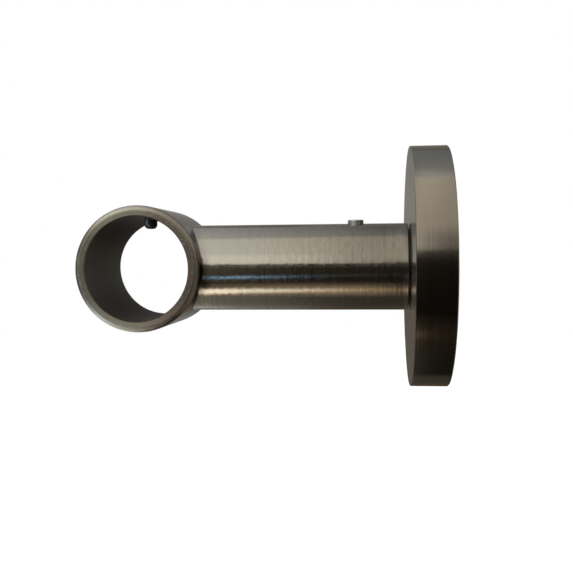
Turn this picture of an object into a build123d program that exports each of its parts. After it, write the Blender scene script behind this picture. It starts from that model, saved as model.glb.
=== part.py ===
"""Curtain pole bracket: a ring for the pole on a round stem, fixed to the wall under a round rose.

The wall is the plane y = 0, with +Y into it. The stem runs out along -Y, the pole lies along X and +Z is up.
All sizes are in millimetres.
"""

import os
from math import radians, tan

from build123d import *

# Pole and ring
pole_diameter = 25.4
pole_clearance = 0.3
ring_wall = 2.7
ring_length = 28.7
ring_edge_radius = 1.35
bore_mouth_chamfer = 0.25
projection = 76.2

# Stem
stem_diameter = 22.0
stem_wall = 1.6
stem_end_gap = 0.4
stem_end_chamfer = 0.25

# Rose
rose_diameter = 60.4
rose_depth = 9.2
rose_wall = 1.8
rose_front_edge_chamfer = 0.15
rose_back_edge_chamfer = 0.2
rose_hole_clearance = 0.2

# Wall plate and its screw holes
plate_thickness = 4.0
plate_clearance = 0.2
wall_screw_count = 3
wall_screw_circle_diameter = 40.0
wall_screw_hole_diameter = 5.0
wall_screw_head_diameter = 9.6
countersink_angle = 90

# Spigot and the screw that holds it to the plate
spigot_clearance = 0.1
spigot_reach = 24.0
spigot_end_chamfer = 1.0
spigot_flat_depth = 1.0
spigot_flat_overrun = 4.0
spigot_screw_diameter = 6.0
spigot_screw_length = 16.0
spigot_screw_head_diameter = 11.4
spigot_screw_head_rim = 0.3
spigot_screw_sunk = 0.2
spigot_screw_clearance = 0.2
spigot_screw_key = 4.0
spigot_screw_key_depth = 2.0
tapping_depth_beyond_screw = 2.0

# Grub screws
grub_diameter = 4.0
grub_top_chamfer = 0.35
grub_key = 2.0
grub_key_depth = 1.5
thread_clearance = 0.05
stem_grub_from_rose = 13.45
stem_grub_stands_proud = 0.95
pole_grub_sunk = 0.2

# A cut runs this far past the face it leaves by
cut_overrun = 1.0

# Radii and places that follow from the sizes above
bore_radius = pole_diameter / 2 + pole_clearance
ring_radius = bore_radius + ring_wall
stem_radius = stem_diameter / 2
stem_socket_radius = stem_radius - stem_wall
spigot_radius = stem_socket_radius - spigot_clearance
rose_radius = rose_diameter / 2
rose_inner_radius = rose_radius - rose_wall
plate_radius = rose_inner_radius - plate_clearance
grub_radius = grub_diameter / 2
grub_hole_radius = grub_radius + thread_clearance
countersink_slope = tan(radians(countersink_angle / 2))
screw_shank_radius = spigot_screw_diameter / 2
screw_head_radius = spigot_screw_head_diameter / 2
screw_cone_from_wall = spigot_screw_sunk + spigot_screw_head_rim
screw_cone_depth = (screw_head_radius - screw_shank_radius) / countersink_slope
screw_seat_radius = screw_head_radius + screw_cone_from_wall * countersink_slope + thread_clearance

stem_end_from_wall = rose_depth + stem_end_gap
stem_length = projection - stem_end_from_wall
spigot_end_from_wall = stem_end_from_wall + spigot_reach
stem_grub_from_wall = rose_depth + stem_grub_from_rose
spigot_flat_height = spigot_radius - spigot_flat_depth


# Arm: the stem is a tube saddled onto the ring, so the ring's wall closes its far end
with BuildPart() as bracket_arm:
    with BuildSketch(Plane.XZ.offset(stem_end_from_wall)):
        Circle(stem_radius)
    extrude(amount=stem_length)
    chamfer(bracket_arm.faces().sort_by(Axis.Y)[-1].edges(), stem_end_chamfer)
    with BuildSketch(Plane.XZ.offset(stem_end_from_wall)):
        Circle(stem_socket_radius)
    extrude(amount=stem_length, mode=Mode.SUBTRACT)

    with BuildSketch(Plane.YZ):
        with Locations((-projection, 0)):
            Circle(ring_radius)
    extrude(amount=ring_length / 2, both=True)
    ring_ends = bracket_arm.faces().filter_by(Axis.X).sort_by(Axis.X)
    fillet(ring_ends[0].edges() + ring_ends[-1].edges(), ring_edge_radius)

    with BuildSketch(Plane.YZ):
        with Locations((-projection, 0)):
            Circle(bore_radius)
    extrude(amount=ring_length / 2, both=True, mode=Mode.SUBTRACT)
    ring_ends = bracket_arm.faces().filter_by(Axis.X).sort_by(Axis.X)
    bore_mouths = [wire for end in (ring_ends[0], ring_ends[-1]) for wire in end.inner_wires()]
    chamfer([edge for mouth in bore_mouths for edge in mouth.edges()], bore_mouth_chamfer)

    # Tapped holes down through the top of the ring and the top of the stem
    with BuildSketch():
        with Locations((0, -projection), (0, -stem_grub_from_wall)):
            Circle(grub_hole_radius)
    extrude(amount=max(ring_radius, stem_radius) + cut_overrun, mode=Mode.SUBTRACT)

# Rose: a shallow cap with a crisp front edge, open towards the wall
with BuildPart() as wall_rose:
    with BuildSketch(Plane.XZ):
        Circle(rose_radius)
    extrude(amount=rose_depth)
    rose_ends = wall_rose.faces().filter_by(Axis.Y).sort_by(Axis.Y)
    chamfer(rose_ends[0].edges(), rose_front_edge_chamfer)
    rose_ends = wall_rose.faces().filter_by(Axis.Y).sort_by(Axis.Y)
    chamfer(rose_ends[-1].edges(), rose_back_edge_chamfer)
    with BuildSketch(Plane.XZ):
        Circle(rose_inner_radius)
    extrude(amount=rose_depth - rose_wall, mode=Mode.SUBTRACT)
    with BuildSketch(Plane.XZ):
        Circle(spigot_radius + rose_hole_clearance)
    extrude(amount=rose_depth, mode=Mode.SUBTRACT)

# Plate: countersunk in front for the wall screws and behind for the spigot's screw
with BuildPart() as wall_plate:
    with BuildSketch(Plane.XZ):
        Circle(plate_radius)
    extrude(amount=plate_thickness)
    with Locations(Plane.XZ.offset(plate_thickness)):
        with PolarLocations(wall_screw_circle_diameter / 2, wall_screw_count, start_angle=90):
            CounterSinkHole(
                wall_screw_hole_diameter / 2,
                wall_screw_head_diameter / 2,
                counter_sink_angle=countersink_angle,
            )
    with Locations(Plane.ZX):
        CounterSinkHole(
            screw_shank_radius + spigot_screw_clearance,
            screw_seat_radius,
            counter_sink_angle=countersink_angle,
        )

# Spigot: a turned bar, tapped from behind, with a milled flat for the stem's screw
with BuildPart() as spigot:
    with BuildSketch(Plane.XZ.offset(plate_thickness)):
        Circle(spigot_radius)
    extrude(amount=spigot_end_from_wall - plate_thickness)
    chamfer(spigot.faces().sort_by(Axis.Y)[0].edges(), spigot_end_chamfer)
    with Locations(Plane.ZX.offset(-plate_thickness)):
        Hole(
            screw_shank_radius + thread_clearance,
            depth=spigot_screw_length + tapping_depth_beyond_screw - plate_thickness,
        )
    flat_start = -spigot_end_from_wall - cut_overrun
    flat_end = -stem_grub_from_wall + spigot_flat_overrun
    with BuildSketch(Plane.XY.offset(spigot_flat_height)):
        with Locations((0, (flat_start + flat_end) / 2)):
            Rectangle(2 * spigot_radius, flat_end - flat_start)
    extrude(amount=spigot_flat_depth + cut_overrun, mode=Mode.SUBTRACT)

# Countersunk screw: its head lies just under the back of the plate, its cone on the countersink
with BuildPart() as spigot_screw:
    with BuildSketch():
        with BuildLine():
            Polyline(
                (0, -spigot_screw_sunk),
                (screw_head_radius, -spigot_screw_sunk),
                (screw_head_radius, -screw_cone_from_wall),
                (screw_shank_radius, -screw_cone_from_wall - screw_cone_depth),
                (screw_shank_radius, -spigot_screw_length),
                (0, -spigot_screw_length),
                close=True,
            )
        make_face()
    revolve(axis=Axis.Y)
    with BuildSketch(Plane.ZX.offset(-spigot_screw_sunk)):
        RegularPolygon(spigot_screw_key / 2, 6, major_radius=False)
    extrude(amount=-spigot_screw_key_depth, mode=Mode.SUBTRACT)


def grub_screw(from_wall, tip_height, top_height):
    """A headless screw that stands upright at this distance from the wall, with a hexagon socket in its top."""
    with BuildPart() as screw:
        with BuildSketch(Plane.XY.offset(tip_height)):
            with Locations((0, -from_wall)):
                Circle(grub_radius)
        extrude(amount=top_height - tip_height)
        chamfer(screw.faces().sort_by(Axis.Z)[-1].edges(), grub_top_chamfer)
        with BuildSketch(Plane.XY.offset(top_height)):
            with Locations((0, -from_wall)):
                RegularPolygon(grub_key / 2, 6, major_radius=False)
        extrude(amount=-grub_key_depth, mode=Mode.SUBTRACT)
    return screw


# The stem's screw bears on the spigot's flat. The pole's screw is backed off level with the bore.
stem_grub_screw = grub_screw(stem_grub_from_wall, spigot_flat_height, stem_radius + stem_grub_stands_proud)
pole_grub_screw = grub_screw(projection, bore_radius, ring_radius - pole_grub_sunk)

os.makedirs("parts", exist_ok=True)
pieces = {
    "bracket_arm": bracket_arm,
    "wall_rose": wall_rose,
    "wall_plate": wall_plate,
    "spigot": spigot,
    "spigot_screw": spigot_screw,
    "stem_grub_screw": stem_grub_screw,
    "pole_grub_screw": pole_grub_screw,
}
for name, piece in pieces.items():
    piece.part.label = name
    export_step(piece.part, f"parts/{name}.step")
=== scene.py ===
"""Looks of a curtain pole bracket: a ring for the pole on a round stem, with a round rose against the wall.

The frame is the part's own, in metres: the wall is y = 0, the stem runs out along -Y and the pole
lies along X.
"""

from math import cos, pi, radians, sin

import bpy
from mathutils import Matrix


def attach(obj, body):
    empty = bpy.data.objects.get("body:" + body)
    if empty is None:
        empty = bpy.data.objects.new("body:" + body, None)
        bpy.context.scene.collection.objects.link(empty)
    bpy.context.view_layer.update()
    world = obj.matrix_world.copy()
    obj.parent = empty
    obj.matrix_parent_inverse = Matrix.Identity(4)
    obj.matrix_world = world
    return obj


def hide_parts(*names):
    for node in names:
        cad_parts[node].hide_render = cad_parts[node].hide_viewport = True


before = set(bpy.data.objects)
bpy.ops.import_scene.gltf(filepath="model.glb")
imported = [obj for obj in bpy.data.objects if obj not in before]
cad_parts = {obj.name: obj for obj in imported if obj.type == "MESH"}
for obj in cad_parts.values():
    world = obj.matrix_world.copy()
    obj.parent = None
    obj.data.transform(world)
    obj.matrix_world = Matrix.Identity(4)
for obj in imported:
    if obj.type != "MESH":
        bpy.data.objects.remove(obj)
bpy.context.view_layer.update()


# Wall plate: a disc turned from steel plate and zinc plated, with three countersunk holes for wall screws.
# It goes on the wall first and the rose covers it. Only its back shows, with the bracket off the wall.
zinc_grey = (0.50, 0.51, 0.52)
zinc_straw = (0.60, 0.57, 0.48)
zinc_bright = (0.72, 0.72, 0.71)
axis_gap = 0.0001  # added to a radius that is divided by, for places on the axis


class Wire:
    """A socket in a material. The arithmetic signs work on it, and each adds a Math node."""

    def __init__(self, socket):
        self.socket = socket

    def add(self, kind, sockets, out=0, **settings):
        """Adds a node of any kind: its settings first, then the values or links of its sockets."""
        tree = self.socket.id_data
        node = tree.nodes.new("ShaderNode" + kind)
        for name, value in settings.items():
            setattr(node, name, value)
        for name, value in sockets.items():
            if isinstance(value, Wire):
                tree.links.new(value.socket, node.inputs[name])
            else:
                node.inputs[name].default_value = value
        return Wire(node.outputs[out]) if node.outputs else None

    def math(self, operation, a, b=0.0):
        return self.add("Math", {0: a, 1: b}, operation=operation)

    def __add__(self, other):
        return self.math("ADD", self, other)

    __radd__ = __add__

    def __sub__(self, other):
        return self.math("SUBTRACT", self, other)

    def __rsub__(self, other):
        return self.math("SUBTRACT", other, self)

    def __mul__(self, other):
        return self.math("MULTIPLY", self, other)

    __rmul__ = __mul__

    def __truediv__(self, other):
        return self.math("DIVIDE", self, other)

    def __pow__(self, other):
        return self.math("POWER", self, other)

    def __rpow__(self, other):
        return self.math("POWER", other, self)

    def __abs__(self):
        return self.math("ABSOLUTE", self)


def new_surface(name):
    """An empty material, with the place on the piece as x, y and z."""
    material = bpy.data.materials.new(name)
    material.use_nodes = True
    material.node_tree.nodes.clear()
    place = Wire(material.node_tree.nodes.new("ShaderNodeTexCoord").outputs["Object"])
    axes = [place.add("SeparateXYZ", {"Vector": place}, out) for out in range(3)]
    return material, *axes


def rises(value, low, high):
    """0 below low, 1 above high, and smooth between them."""
    sockets = {"Value": value, "From Min": low, "From Max": high}
    return value.add("MapRange", sockets, interpolation_type="SMOOTHSTEP")


def tone(share, colour, other):
    """One colour going over into another."""
    sockets = {
        "Factor": share,
        6: colour if isinstance(colour, Wire) else (*colour, 1.0),
        7: other if isinstance(other, Wire) else (*other, 1.0),
    }
    return share.add("Mix", sockets, out=2, data_type="RGBA")


def distance(a, b):
    """How far a place is from an axis, from how far it lies along the two others."""
    return (a * a + b * b) ** 0.5


def noise(a, b, c, scale, detail=2.0):
    """Noise from 0 to 1 at the place a, b, c."""
    vector = a.add("CombineXYZ", {"X": a, "Y": b, "Z": c})
    return a.add("TexNoise", {"Vector": vector, "Scale": scale, "Detail": detail})


def tool_lines(across, u, v, radius, fineness, run=0.8, detail=3.0):
    """Fine lines left by a tool or belt on a turning piece. They change fast across and slowly round it."""
    return noise(across * fineness, u / radius * run, v / radius * run, 1.0, detail)


def finish(colour, roughness, height, depth, metallic=1.0, sheen=0.5):
    """Ends a material as metal, with its lines as deep as depth. Sheen is for where it isn't quite bare."""
    normal = height.add("Bump", {"Strength": 1.0, "Distance": depth, "Height": height})
    sockets = {
        "Base Color": colour,
        "Metallic": metallic,
        "Roughness": roughness,
        "Normal": normal,
        "Specular IOR Level": sheen,
    }
    colour.add("OutputMaterial", {"Surface": colour.add("BsdfPrincipled", sockets)})


def put_on(node, material):
    """Gives a piece of the frame its material."""
    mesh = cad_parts[node].data
    mesh.materials.clear()
    mesh.materials.append(material)


def zinc_plate(name):
    """Zinc over turned steel, clouded with straw yellow by the bath."""
    material, x, y, z = new_surface(name)
    radius = distance(x, z)
    turned = tool_lines(radius - y, x, z, radius + axis_gap, fineness=4000.0)
    clouds = noise(x, y, z, scale=140.0, detail=4.0)
    colour = tone(rises(clouds, 0.35, 0.65), zinc_grey, zinc_straw)
    colour = tone(turned * 0.3, colour, zinc_bright)
    finish(colour, 0.26 + 0.12 * clouds, turned, depth=0.000006)
    return material


put_on("wall_plate", zinc_plate("wall_plate_zinc"))


# Spigot: a bar turned from steel, coloured near-black as painted shade, with a flat milled on top for the
# stem's screw.
# A countersunk screw from behind the plate holds it, plated like the plate. Of the spigot, only a sliver
# shows, in the gap between stem and rose.
# Painted shade: the spigot is coloured near-black for the shade in the gap around it.
gap_shade_black = (0.025, 0.023, 0.02)
gap_shade_brown = (0.05, 0.046, 0.04)


def gap_shaded_steel(name):
    """Turned steel, coloured near-black as painted shade for the gap between stem and rose."""
    material, x, y, z = new_surface(name)
    radius = distance(x, z)
    turned = tool_lines(radius - y, x, z, radius + axis_gap, fineness=5000.0)
    finish(tone(turned, gap_shade_black, gap_shade_brown), 0.3 + 0.12 * turned, turned, depth=0.00001)
    return material


put_on("spigot", gap_shaded_steel("spigot_steel"))
put_on("spigot_screw", zinc_plate("spigot_screw_zinc"))


# Rose: a shallow cap turned from steel, plated, and brushed with a belt as it spins, so lines run round it.
# It slides over the spigot and up to the wall, and hides the plate.
rose_radius = 0.0302
rose_depth = 0.0092
rose_chamfer = 0.00015
plating_light = (0.257, 0.232, 0.181)
plating_dark = (0.233, 0.210, 0.163)
# Painted shade for the lower half of the rose's front chamfer:
rose_edge_shade = (0.01, 0.009, 0.007)


def falls(value, low, high):
    """1 below low, 0 above high, and smooth between them."""
    return 1 - rises(value, low, high)


def blend(share, value, other):
    """One number going over into another."""
    return share * other + (1 - share) * value


def brushed(across, u, v, radius):
    """The lines of the brushing belt from 0 to 1: hair-fine ones, and streaks as wide as its grains."""
    hairs = tool_lines(across, u, v, radius, fineness=6500.0)
    streaks = tool_lines(across, u, v, radius, fineness=1900.0, run=0.5, detail=1.0)
    return rises(hairs * 0.3 + streaks * 0.7, 0.3, 0.7)


def wear(x, y, z):
    """Clouds as wide as a fingertip, from 0 to 1, where handling has worn the plating."""
    return noise(x, y, z, scale=90.0, detail=3.0)


def plated(lines, worn):
    """The plating's colour, lighter along some of the belt's lines and where it is worn."""
    return tone(lines * 0.5 + worn * 0.3 + 0.1, plating_dark, plating_light)


def rose_plating(name):
    """Brushed plating, with painted shade darkening the lower half of the chamfer round the front."""
    material, x, y, z = new_surface(name)
    radius = distance(x, z)
    chamfer_at = rose_radius + rose_depth - rose_chamfer
    on_rim = rises(radius, rose_radius - 0.00015, rose_radius - 0.00005)
    on_edge = rises(radius - y, chamfer_at - 0.00005, chamfer_at - 0.00001) * falls(z, -0.006, 0.004)
    front_lines = brushed(radius, x, z, radius + axis_gap)
    rim_lines = brushed(y, x, z, radius + axis_gap)
    lines = blend(on_rim, front_lines, rim_lines)
    # Painted shade: the lower half of the front chamfer is darkened.
    colour = tone(on_edge * 0.95, plated(lines, wear(x, y, z)), rose_edge_shade)
    rough = blend(on_edge, blend(on_rim, 0.2, 0.11), 0.5) + 0.03 * lines
    finish(colour, rough, lines, depth=0.000002)
    return material


put_on("wall_rose", rose_plating("rose_plating"))


# Arm: a short thick ring and a coped tube, both of steel, brazed together, then plated and brushed as one.
# The ring's cut ends are rougher, and its bore is left dull and dark as it came from the bath, with painted
# shade making it darker still at its top and bottom.
pole_line = -0.0762
ring_radius = 0.0157
bore_radius = 0.0130
ring_half_length = 0.01435
stem_end = -0.0096
stem_chamfer = 0.00025
braze_brown = (0.07, 0.047, 0.036)
# Painted reflection of the ring on the stem, and painted shade in the corner by the ring:
ring_reflection_dark = (0.035, 0.03, 0.026)
crevice_shade_black = (0.03, 0.027, 0.022)
olive_dark = (0.117, 0.106, 0.073)
olive_light = (0.208, 0.192, 0.136)
brown_dark = (0.128, 0.100, 0.069)
brown_light = (0.226, 0.180, 0.128)
# Painted shade for the ring's outer edge:
ring_edge_shade_grey = (0.05, 0.046, 0.037)
nick_bright = (0.36, 0.32, 0.24)
bore_grey = (0.098, 0.091, 0.073)
# Painted shade for the top and the bottom of the bore:
bore_top_shade = (0.033, 0.028, 0.021)
bore_bottom_shade = (0.034, 0.028, 0.019)
# Painted shade for the stem's cut end, in the gap by the rose:
stem_end_shade_grey = (0.07, 0.062, 0.05)


def scaled(colour, level):
    """A colour made lighter or darker."""
    return colour.add("VectorMath", {0: colour, "Scale": level}, operation="SCALE")


def brazed_and_shaded(colour, ring, z, worn):
    """The colour on the stem by the ring: a brown stain from the torch, deepened across the stem's middle as
    a painted reflection of the ring, with a darker painted reflection streak in it, and painted shade in the
    corner.
    """
    ragged = ring + 0.002 * worn
    stain = falls(ragged, ring_radius + 0.001, ring_radius + 0.0036)
    # Painted reflection of the ring: the stain deepens across the stem's middle, with a darker streak in it.
    stain_and_reflection = 0.3 + 0.45 * falls(abs(z + 0.0025), 0.003, 0.006)
    ring_reflection = falls(ragged, ring_radius + 0.002, ring_radius + 0.0046) * falls(abs(z + 0.0038), 0.0006, 0.0018)
    # Painted shade: the corner between stem and ring is darkened.
    corner = falls(ring, ring_radius, ring_radius + 0.0003)
    colour = tone(stain * stain_and_reflection, colour, braze_brown)
    colour = tone(ring_reflection * 0.75, colour, ring_reflection_dark)
    return tone(corner * 0.6, colour, crevice_shade_black)


def ring_end(from_pole, z, outer, worn):
    """The colour of the ring's cut ends: olive, browner by the stem, with painted highlights at the top and
    the bottom, painted light low down, a painted highlight on the outer edge at the top, and painted shade
    by the stem.
    """
    by_stem = rises(from_pole, 0.0, 0.007)
    # Painted highlights: lighter towards the top and the bottom, less so by the stem.
    level = 0.74 + 0.5 * rises(abs(z), 0.006, 0.0135) * (1 - 0.75 * by_stem)
    # Painted light low down, and painted shade by the stem.
    level = level + 0.36 * falls(z, -0.013, -0.004) - 0.12 * by_stem
    # Painted highlight on the outer edge at the top.
    level = level + 0.5 * outer * rises(z, 0.0105, 0.0125) * (1 - by_stem)
    olive = tone(worn, olive_dark, olive_light)
    brown = tone(worn, brown_dark, brown_light)
    return scaled(tone(by_stem, olive, brown), level)


def arm_plating(name):
    """Brushed plating, its lines round the stem and round the ring, with the marks of making and use, and
    painted light and shade.
    """
    material, x, y, z = new_surface(name)
    from_pole = y - pole_line
    ring = distance(from_pole, z)
    stem = distance(x, z)
    worn = wear(x, y, z)

    end_at = ring_half_length - 0.0012
    cut_at = stem_end - stem_chamfer
    on_stem = rises(ring, ring_radius + 0.00001, ring_radius + 0.00005)
    on_edge = rises(abs(x), end_at - 0.0003, end_at)
    inside_edge = falls(ring, ring_radius - 0.0016, ring_radius - 0.0004)
    on_end = rises(abs(x), end_at - 0.0004, end_at) * inside_edge
    outer = rises(ring, ring_radius - 0.0019, ring_radius - 0.0009)
    in_bore = falls(ring, bore_radius + 0.00005, bore_radius + 0.0003)
    on_cut = rises(y, cut_at - 0.00003, cut_at + 0.00001)

    stem_lines = brushed(y, x, z, stem + axis_gap)
    ring_lines = brushed(x, from_pole, z, ring)
    end_lines = tool_lines(ring, from_pole, z, ring, fineness=3500.0)
    lines = blend(on_stem, blend(on_end, ring_lines, end_lines), stem_lines)

    below = falls(z, -0.0135, -0.0095) * rises(from_pole, -0.002, 0.004)
    in_front = falls(from_pole, -0.0125, -0.0095) * rises(abs(z), 0.002, 0.005)
    # Painted shade: the outer edge darkens at the bottom by the stem, and on the side away from the wall
    # above and below the middle.
    ring_edge_shade = on_edge * (0.54 * (1 - on_end) * below + 0.4 * outer * in_front)
    nicks = rises(noise(x, y, z, scale=1700.0), 0.6, 0.7) * on_edge
    # Painted shade: the bore darkens towards its top and its bottom.
    bore = tone(rises(z, 0.002, 0.012), bore_grey, bore_top_shade)
    bore = tone(rises(0 - z, 0.002, 0.012), bore, bore_bottom_shade)

    plating = plated(lines, worn)
    colour = tone(on_stem, plating, brazed_and_shaded(plating, ring, z, worn))
    colour = tone(on_end, colour, ring_end(from_pole, z, outer, worn))
    colour = tone(ring_edge_shade, colour, ring_edge_shade_grey)
    colour = tone(nicks * 0.35, colour, nick_bright)
    colour = tone(in_bore, colour, bore)
    # Painted shade: the stem's cut end and its chamfer are darkened.
    colour = tone(on_cut, colour, stem_end_shade_grey)

    rough = blend(on_edge, 0.12 + 0.05 * lines, 0.3 + 0.1 * lines + 0.15 * on_end)
    rough = blend(in_bore, rough, 0.55 + 0.1 * worn)
    rough = blend(on_cut, rough, 0.6)
    ripple = noise(x, y * 1.3, z, scale=500.0, detail=1.0)
    height = 0.8 * lines + 5 * ripple
    finish(colour, rough, height, depth=0.000006, metallic=1 - 0.6 * in_bore, sheen=0.15)
    return material


put_on("bracket_arm", arm_plating("arm_plating"))


# Stem screw: an M4 set screw of steel with a rolled 0.7 mm thread, a 2 mm hexagon socket and a flat point.
# It is driven down onto the spigot's flat, with its top proud of the stem, and is worn to a plain grey.
screw_steps = 48
thread_pitch = 0.0007
thread_radius = 0.0020
root_radius = 0.00162
row_height = thread_pitch / 10
socket_flat = 0.0010
socket_depth = 0.0015
socket_cone = 0.0004
top_chamfer = 0.0002
flat_point = [(0.0011, 0.0), (0.0014, 0.0002), (root_radius, 0.0004)]
grey_dark = (0.26, 0.25, 0.22)
grey_light = (0.38, 0.37, 0.33)
# Colour of the painted highlight on the pole screw's point:
highlight_blue_white = (0.75, 0.87, 0.95)


def screw_steel(name, dark, light, highlighted=None):
    """Screw steel, cloudy between two colours, with a painted highlight where the share worked out from the
    place is 1.
    """
    material, x, y, z = new_surface(name)
    oxide = noise(x, y, z, scale=1500.0, detail=3.0)
    colour = tone(oxide, dark, light)
    metallic = 0.8
    if highlighted:
        highlight_share = highlighted(x, y, z)
        # Painted highlight: bluish white, and less metallic, on one side.
        colour = tone(highlight_share, colour, highlight_blue_white)
        metallic = metallic - 0.6 * highlight_share
    finish(colour, 0.3 + 0.14 * oxide, oxide, depth=0.00001, metallic=metallic)
    return material


def thread_row(height, start, top, plain):
    """The radii round the screw at one height, between its thread's start and its top."""
    row = []
    for step in range(screw_steps):
        turn = (height / thread_pitch - step / screw_steps) % 1.0
        crest = max(0.0, min(1.0, 1.75 * abs(2 * turn - 1) - 0.35))
        if height > top - plain:
            crest = 1.0
        full = root_radius + (thread_radius - root_radius) * crest
        run_in = root_radius + (height - start)
        chamfer = thread_radius - top_chamfer + (top - height)
        row.append(min(full, run_in, chamfer))
    return row


def set_screw(name, from_wall, tip, top, point, plain, material):
    """A set screw standing upright, unthreaded for the plain length below its top.

    The point is a list of radii and heights above the tip, up to where its thread starts.
    """
    rows = [([radius] * screw_steps, tip + height) for radius, height in point]
    start = rows[-1][1]
    height = start + row_height
    while height < top:
        rows.append((thread_row(height, start, top, plain), height))
        height += row_height
    angles = [step / screw_steps * 2 * pi for step in range(screw_steps)]
    hexagon = [socket_flat / cos((angle + pi / 6) % (pi / 3) - pi / 6) for angle in angles]
    rows.append(([thread_radius - top_chamfer] * screw_steps, top))
    rows.append((hexagon, top))
    rows.append((hexagon, top - socket_depth))

    corners = []
    for row, height in rows:
        for radius, angle in zip(row, angles):
            corners.append((radius * cos(angle), -from_wall + radius * sin(angle), height))
    point_middle = len(corners)
    socket_middle = point_middle + 1
    corners.append((0.0, -from_wall, tip))
    corners.append((0.0, -from_wall, top - socket_depth - socket_cone))

    faces = []
    last = (len(rows) - 1) * screw_steps
    for low in range(0, last, screw_steps):
        high = low + screw_steps
        for j in range(screw_steps):
            k = (j + 1) % screw_steps
            faces.append((low + j, low + k, high + k, high + j))
    for j in range(screw_steps):
        k = (j + 1) % screw_steps
        faces.append((point_middle, k, j))
        faces.append((socket_middle, last + j, last + k))

    mesh = bpy.data.meshes.new(name)
    mesh.from_pydata(corners, [], faces)
    mesh.shade_smooth()
    mesh.set_sharp_from_angle(angle=radians(40))
    mesh.materials.append(material)
    screw = bpy.data.objects.new(name, mesh)
    bpy.context.scene.collection.objects.link(screw)
    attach(screw, "root")
    return screw


stem_screw = set_screw(
    "stem_screw",
    from_wall=0.02265,
    tip=0.0083,
    top=0.01195,
    point=flat_point,
    plain=0.0014,
    material=screw_steel("stem_screw_steel", grey_dark, grey_light),
)
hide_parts("stem_grub_screw")


# Pole screw: its fellow in the top of the ring, blackened, with a turned round point that grips the pole.
# It is run in by nearly three millimetres, and one side of its point carries a painted highlight.
point_radius = 0.00166
point_round = 0.0011
point_length = 0.0022
thread_start = 0.00235
black_dark = (0.05, 0.05, 0.056)
black_light = (0.16, 0.105, 0.095)
round_point = [
    (point_radius - point_round * (1 - sin(radians(turn))), point_round * (1 - cos(radians(turn))))
    for turn in range(0, 91, 15)
]
round_point += [(point_radius, point_length), (root_radius, thread_start)]


def highlight_side(x, y, z):
    """The side of the point that carries a painted highlight."""
    towards = 0.87 * x - 0.49 * (y - pole_line)
    return rises(towards, 0.00153, 0.0017) * falls(z, 0.0124, 0.0132)


pole_screw = set_screw(
    "pole_screw",
    from_wall=-pole_line,
    tip=0.01025,
    top=0.0155,
    point=round_point,
    plain=0.0003,
    material=screw_steel("pole_screw_steel", black_dark, black_light, highlight_side),
)
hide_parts("pole_grub_screw")


# Cards: a tent of painted boards round the bracket, which gives the bright metal something to show.
# Only reflections see them. Their places are in metres, and a level of 1 is white.
tent_half_length = 0.9
tent_side = 0.5
tent_low = -0.40
tent_high = 0.5
window_side = 0.52
window_low = -0.05
ceiling_edge = 0.0
top_edge = 0.02
daylight = (0.87, 1.0, 1.27)
near_white = (1.0, 0.98, 0.96)
warm_white = (1.0, 0.97, 0.93)


def card(name, corners, glow):
    """A flat card that metal shows and the camera doesn't. The glow is its colour and level at a place."""
    material, x, y, z = new_surface(name)
    light = y.add("Emission", {"Color": scaled(*glow(x, y, z)), "Strength": 1.0})
    y.add("OutputMaterial", {"Surface": light})
    mesh = bpy.data.meshes.new(name)
    mesh.from_pydata(corners, [], [tuple(range(len(corners)))])
    mesh.materials.append(material)
    board = bpy.data.objects.new(name, mesh)
    bpy.context.scene.collection.objects.link(board)
    board.visible_camera = False
    board.visible_diffuse = False
    board.visible_shadow = False


def along_stem(edge, other_edge):
    """The corners of a card as long as the tent, between two edges that are given by their x and z."""
    x, z = edge
    other_x, other_z = other_edge
    end = tent_half_length
    return [(x, -end, z), (x, end, z), (other_x, end, other_z), (other_x, -end, other_z)]


def across_stem(y):
    """The corners of a card that closes the tent at one end."""
    outline = [
        (-tent_side, tent_low), (-tent_side, tent_high), (tent_side, tent_high), (tent_side, tent_low),
    ]
    return [(x, y, z) for x, z in outline]


def band(value, start, full, fading, end):
    """1 from full to fading, 0 before start and after end."""
    return rises(value, start, full) * falls(value, fading, end)


def at_least(value, low):
    """A value, or low where the value is less."""
    return value.math("MAXIMUM", value, low)


def dims(y, level, half, start=-0.2):
    """The level at y = 0, halving with each such length to the right and even to the left of the start."""
    return level * 0.5 ** (at_least(y, start) / half)


def behind_rose(y):
    """The stretch that the rose's rim shows."""
    return band(y, 0.006, 0.014, 0.08, 0.11)


def front_glow(x, y, z):
    """Dark, with a slanting strip of sky that fades to the right, and daylight low on the left."""
    level = 0.055 + 0.18 * falls(y, -0.18, -0.07)
    level = level * blend(rises(z, -0.2, 0.0), 0.6, 1.0) * (1 - 0.7 * rises(y, 0.0, 0.03))
    corner = falls(y, -0.3, -0.22) * falls(z, -0.26, -0.14)
    far = rises(y, 0.12, 0.2) * falls(z, -0.3, -0.15)
    farther = rises(y, 0.3, 0.5) * falls(z, -0.15, -0.05)
    over_stem = rises(z, 0.03, 0.11) * rises(y, -0.03, 0.0)
    level = level + 3.0 * corner + 0.25 * (far + 1.2 * farther) + 0.06 * over_stem
    fading = 0.97 * rises(y, -0.19, -0.07) + 0.03 * rises(y, -0.01, 0.01)
    strip = band(z - 0.4 * (y + 0.15), -0.29, -0.26, -0.228, -0.19)
    strip = strip * rises(y, -0.175, -0.165) * (1 - fading)
    tan = (1.0, 0.86, 0.72)
    sky = (0.34, 0.62, 1.04)
    colour = tone(rises(strip, 0.0, 0.08), tone(corner, tan, daylight), sky)
    return colour, blend(strip, level, 3.1)


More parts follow.
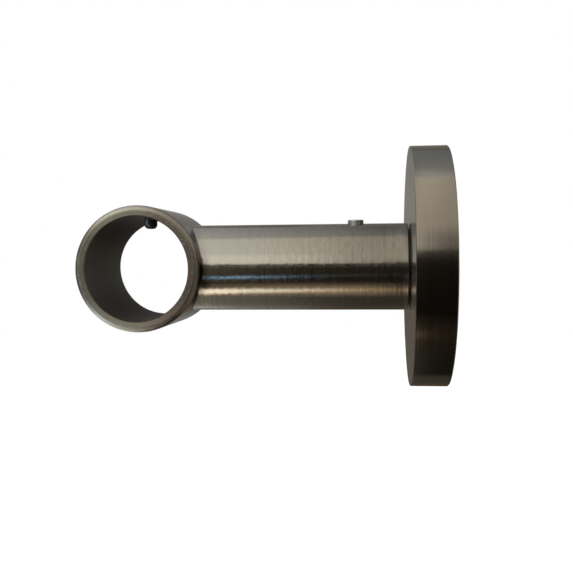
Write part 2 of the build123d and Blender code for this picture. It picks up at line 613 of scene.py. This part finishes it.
def low_glow(x, y, z):
    """Grey behind, brown in front, a bright strip between them that turns gold, and daylight on the left."""
    in_front = rises(x, 0.02, 0.16)
    under = dims(y, 0.15, 0.1, -0.28) * (0.12 + 0.88 * rises(y, -0.5, -0.28))
    under = under * (1 + 0.7 * falls(y, -0.19, -0.14)) * (1 - 0.8 * rises(y, 0.004, 0.028))
    under = under * (1 - 0.34 * band(y, -0.1, -0.045, 0.004, 0.014))
    before = (0.07 + 0.3 * falls(x, 0.25, 0.45)) * (0.04 + 0.96 * falls(y, -0.006, 0.014))
    before = before * (1 + 0.7 * rises(y, -0.19, -0.1))
    line = band(x, 0.37, 0.39, 0.41, 0.43) * falls(y, 0.02, 0.035)
    level = blend(in_front, under, before) + line * (0.05 + 0.12 * falls(y, -0.12, -0.06))
    level = level + 0.065 * behind_rose(y) * falls(x, -0.25, -0.19) + 0.25 * rises(y, 0.12, 0.2)
    from_strip = x - 0.45 * (at_least(y, -0.3) + 0.15) + 0.018 * falls(y, -0.16, -0.11)
    strip = rises(from_strip, 0.084, 0.16) * falls(x, 0.21, 0.275) * falls(y, 0.0, 0.022)
    gleam = 1 + 0.2 * rises(y, -0.095, -0.07) - 0.35 * rises(y, -0.06, -0.04) + 0.15 * rises(y, -0.03, 0.0)
    gleam = gleam * dims(y, 1.08, 0.078) * (0.2 + 0.8 * rises(y, -0.2, -0.155))
    corner = falls(y, -0.42, -0.34) * blend(rises(x, -0.25, 0.1), 0.4, 1.0)
    cream = (1.0, 0.92, 0.83)
    tan = (1.0, 0.79, 0.62)
    amber = (1.0, 0.74, 0.47)
    gold = (1.0, 0.62, 0.33)
    ground = tone(in_front, tone(rises(y, -0.16, 0.0), near_white, cream), tan)
    golden = tone(rises(from_strip, 0.09, 0.17), amber, tone(rises(y, -0.09, 0.008), near_white, gold))
    colour = tone(corner, tone(strip, ground, golden), daylight)
    return colour, blend(corner, blend(strip, level, gleam), 2.6)


def back_glow(x, y, z):
    """Grey, darker low down and amber there by the rose, with daylight low on the left."""
    high = rises(z, -0.06, 0.05)
    level = blend(high, blend(rises(y, -0.17, -0.08), 0.15, 0.10), 0.25) + 0.08 * rises(z, 0.38, 0.5)
    above_ring = rises(y, -0.25, -0.18) * falls(y + 0.1 * (z - 0.14), -0.085, -0.055) * rises(z, 0.05, 0.1)
    level = dims(y, 1.0, 0.2) * level * (1 - 0.35 * above_ring)
    corner = falls(y, -0.36, -0.27) * falls(z, -0.3, -0.2)
    below = falls(y, -0.1, -0.06) * falls(z, -0.2, -0.1)
    level = level + 1.5 * corner + 0.4 * rises(y, 0.12, 0.35) + 0.07 * below
    level = level + 0.02 * behind_rose(y) * falls(z, -0.3, -0.25)
    ivory = (1.0, 0.98, 0.94)
    cream = (1.0, 0.96, 0.89)
    amber = (1.0, 0.72, 0.44)
    colour = tone(high, tone(rises(y, -0.1, -0.055), ivory, amber), cream)
    colour = tone(rises(y, 0.1, 0.3), colour, warm_white)
    return tone(corner, colour, daylight), level


def window_glow(x, y, z):
    """Bright and cool on the left, duller and warmer to the right, with a light patch beside the rose."""
    left = falls(y, -0.19, 0.03)
    low = falls(y, -0.11, -0.03) * falls(z, 0.25, 0.45)
    by_rose = 0.84 * rises(y, 0.01, 0.02) - 0.12 * rises(y, -0.006, 0.004) - 0.56 * rises(y, 0.022, 0.065)
    patch = band(y, 0.008, 0.016, 0.018, 0.026) * falls(z, 0.3, 0.45)
    middle = band(y, -0.15, -0.06, -0.045, -0.012)
    level = 0.66 + 1.16 * left * rises(x, -0.05, 0.1) + 0.47 * low
    level = level + by_rose + 0.8 * patch + 0.13 * middle
    level = level * (1 - 0.64 * rises(y, 0.023, 0.036) * falls(z, 0.2, 0.46))
    level = level * (1 - 0.25 * rises(y, 0.0, 0.012) * falls(z, 0.13, 0.2))
    level = level + 0.7 * falls(y, -0.45, -0.3) * rises(z, 0.26, 0.36)
    rosy_white = (1.02, 0.95, 0.92)
    cool_white = (0.97, 1.0, 1.06)
    warm = tone(rises(y, 0.025, 0.045), warm_white, rosy_white)
    return tone(left, warm, cool_white), level


def end_glow(x, y, z):
    """Grey, lighter at the top, and lighter at the wall's end than at the ring's."""
    right = rises(y, -0.5, 0.5)
    level = blend(rises(z, -0.1, 0.2), blend(right, 0.07, 0.5), blend(right, 0.4, 0.8))
    cream = (1.0, 0.95, 0.9)
    return tone(right, cream, near_white), level


def top_glow(x, y, z):
    """Cool, fading to the right, with a bright patch over the rose that narrows to the right."""
    level = dims(y, 1.0, 0.15) * blend(rises(x, -0.45, 0.03), 0.33, 0.58)
    level = level * (0.35 + 0.65 * rises(y, -0.8, -0.4))
    over_rose = rises(y, 0.01, 0.024)
    level = level * (1 - 0.28 * rises(y, -0.05, 0.0) + 0.6 * over_rose)
    patch = over_rose * rises(x - 3.0 * at_least(y - 0.03, 0.0), -0.13, 0.0)
    level = blend(patch, level, 1.1) + 0.4 * rises(y, 0.12, 0.25)
    far_sky = (0.91, 0.99, 1.13)
    near_sky = (0.94, 0.99, 1.09)
    return tone(rises(x, -0.45, 0.02), far_sky, near_sky), level


front_outline = [
    (-tent_half_length, 0.06), (-tent_half_length, tent_low), (tent_half_length, tent_low),
    (tent_half_length, 0.15), (0.05, 0.14), (0.02, 0.13), (0.0, 0.082), (-0.08, 0.088),
    (-0.15, 0.076), (-0.18, 0.1),
]
card("front_card", [(tent_side, y, z) for y, z in front_outline], front_glow)
card("window_card", along_stem((window_side, window_low), (window_side, window_side)), window_glow)
card("ceiling_card", along_stem((window_side, window_side), (ceiling_edge, window_side)), window_glow)
card("low_card", along_stem((tent_side, tent_low), (-tent_side, tent_low)), low_glow)
card("back_card", along_stem((-tent_side, tent_low), (-tent_side, tent_high)), back_glow)
card("left_card", across_stem(-tent_half_length), end_glow)
card("right_card", across_stem(tent_half_length), end_glow)
card("top_card", along_stem((-tent_side, tent_high), (top_edge, tent_high)), top_glow)


# Studio: one softbox over the camera's left shoulder, a floor of pale paper well below, a white surround.
# The camera stands at the bracket's side, level with the stem, and looks nearly along the pole.
floor_reach = 4.0
floor_level = -0.45
paper_grey = (0.80, 0.80, 0.80)
paper_white = (0.84, 0.84, 0.84)
paper_glow = (0.6, 0.6, 0.6)
surround_light = (0.62, 0.62, 0.62)
black = (0.0, 0.0, 0.0)
white = (1.0, 1.0, 1.0)


def shown(tree):
    """1 for a ray that shows what it meets, straight on or in metal or glass, and 0 for one that lights."""
    rays = tree.nodes.new("ShaderNodeLightPath").outputs
    return Wire(rays["Is Camera Ray"]) + Wire(rays["Is Glossy Ray"]) + Wire(rays["Is Transmission Ray"])


softbox = bpy.data.objects.new("softbox", bpy.data.lights.new("softbox", "AREA"))
softbox.data.shape = "RECTANGLE"
softbox.data.size = 0.7
softbox.data.size_y = 0.7
softbox.data.energy = 0.5
softbox.location = (0.46, -0.30, 0.47)
softbox.rotation_euler = (0.0, radians(45.0), 0.0)
softbox.visible_camera = False
softbox.visible_glossy = False
bpy.context.scene.collection.objects.link(softbox)

floor_corners = [
    (-floor_reach, -floor_reach, floor_level), (floor_reach, -floor_reach, floor_level),
    (floor_reach, floor_reach, floor_level), (-floor_reach, floor_reach, floor_level),
]
floor_mesh = bpy.data.meshes.new("floor")
floor_mesh.from_pydata(floor_corners, [], [(0, 1, 2, 3)])
floor = bpy.data.objects.new("floor", floor_mesh)
bpy.context.scene.collection.objects.link(floor)
paper, x, y, z = new_surface("floor_paper")
grain = noise(x, y, z, scale=900.0)
matt = x.add("BsdfDiffuse", {"Color": tone(grain, paper_grey, paper_white)})
pale = x.add("Emission", {"Color": tone(shown(paper.node_tree), black, paper_glow), "Strength": 1.0})
x.add("OutputMaterial", {"Surface": x.add("AddShader", {0: matt, 1: pale})})
floor_mesh.materials.append(paper)

world = bpy.data.worlds.new("surround")
world.use_nodes = True
world.node_tree.nodes.clear()
bpy.context.scene.world = world
surround_colour = tone(shown(world.node_tree), surround_light, white)
surround = surround_colour.add("Background", {"Color": surround_colour, "Strength": 1.0})
surround.add("OutputWorld", {"Surface": surround})

bpy.context.scene.view_settings.view_transform = "Standard"

camera = bpy.data.objects.new("camera", bpy.data.cameras.new("camera"))
camera.location = (0.20004, -0.01965, 0.00331)
camera.rotation_euler = (radians(87.636), radians(0.465), radians(95.9435))
camera.data.sensor_width = 36
camera.data.lens = 48.86
camera.data.clip_start = 0.01
bpy.context.scene.collection.objects.link(camera)
bpy.context.scene.camera = camera
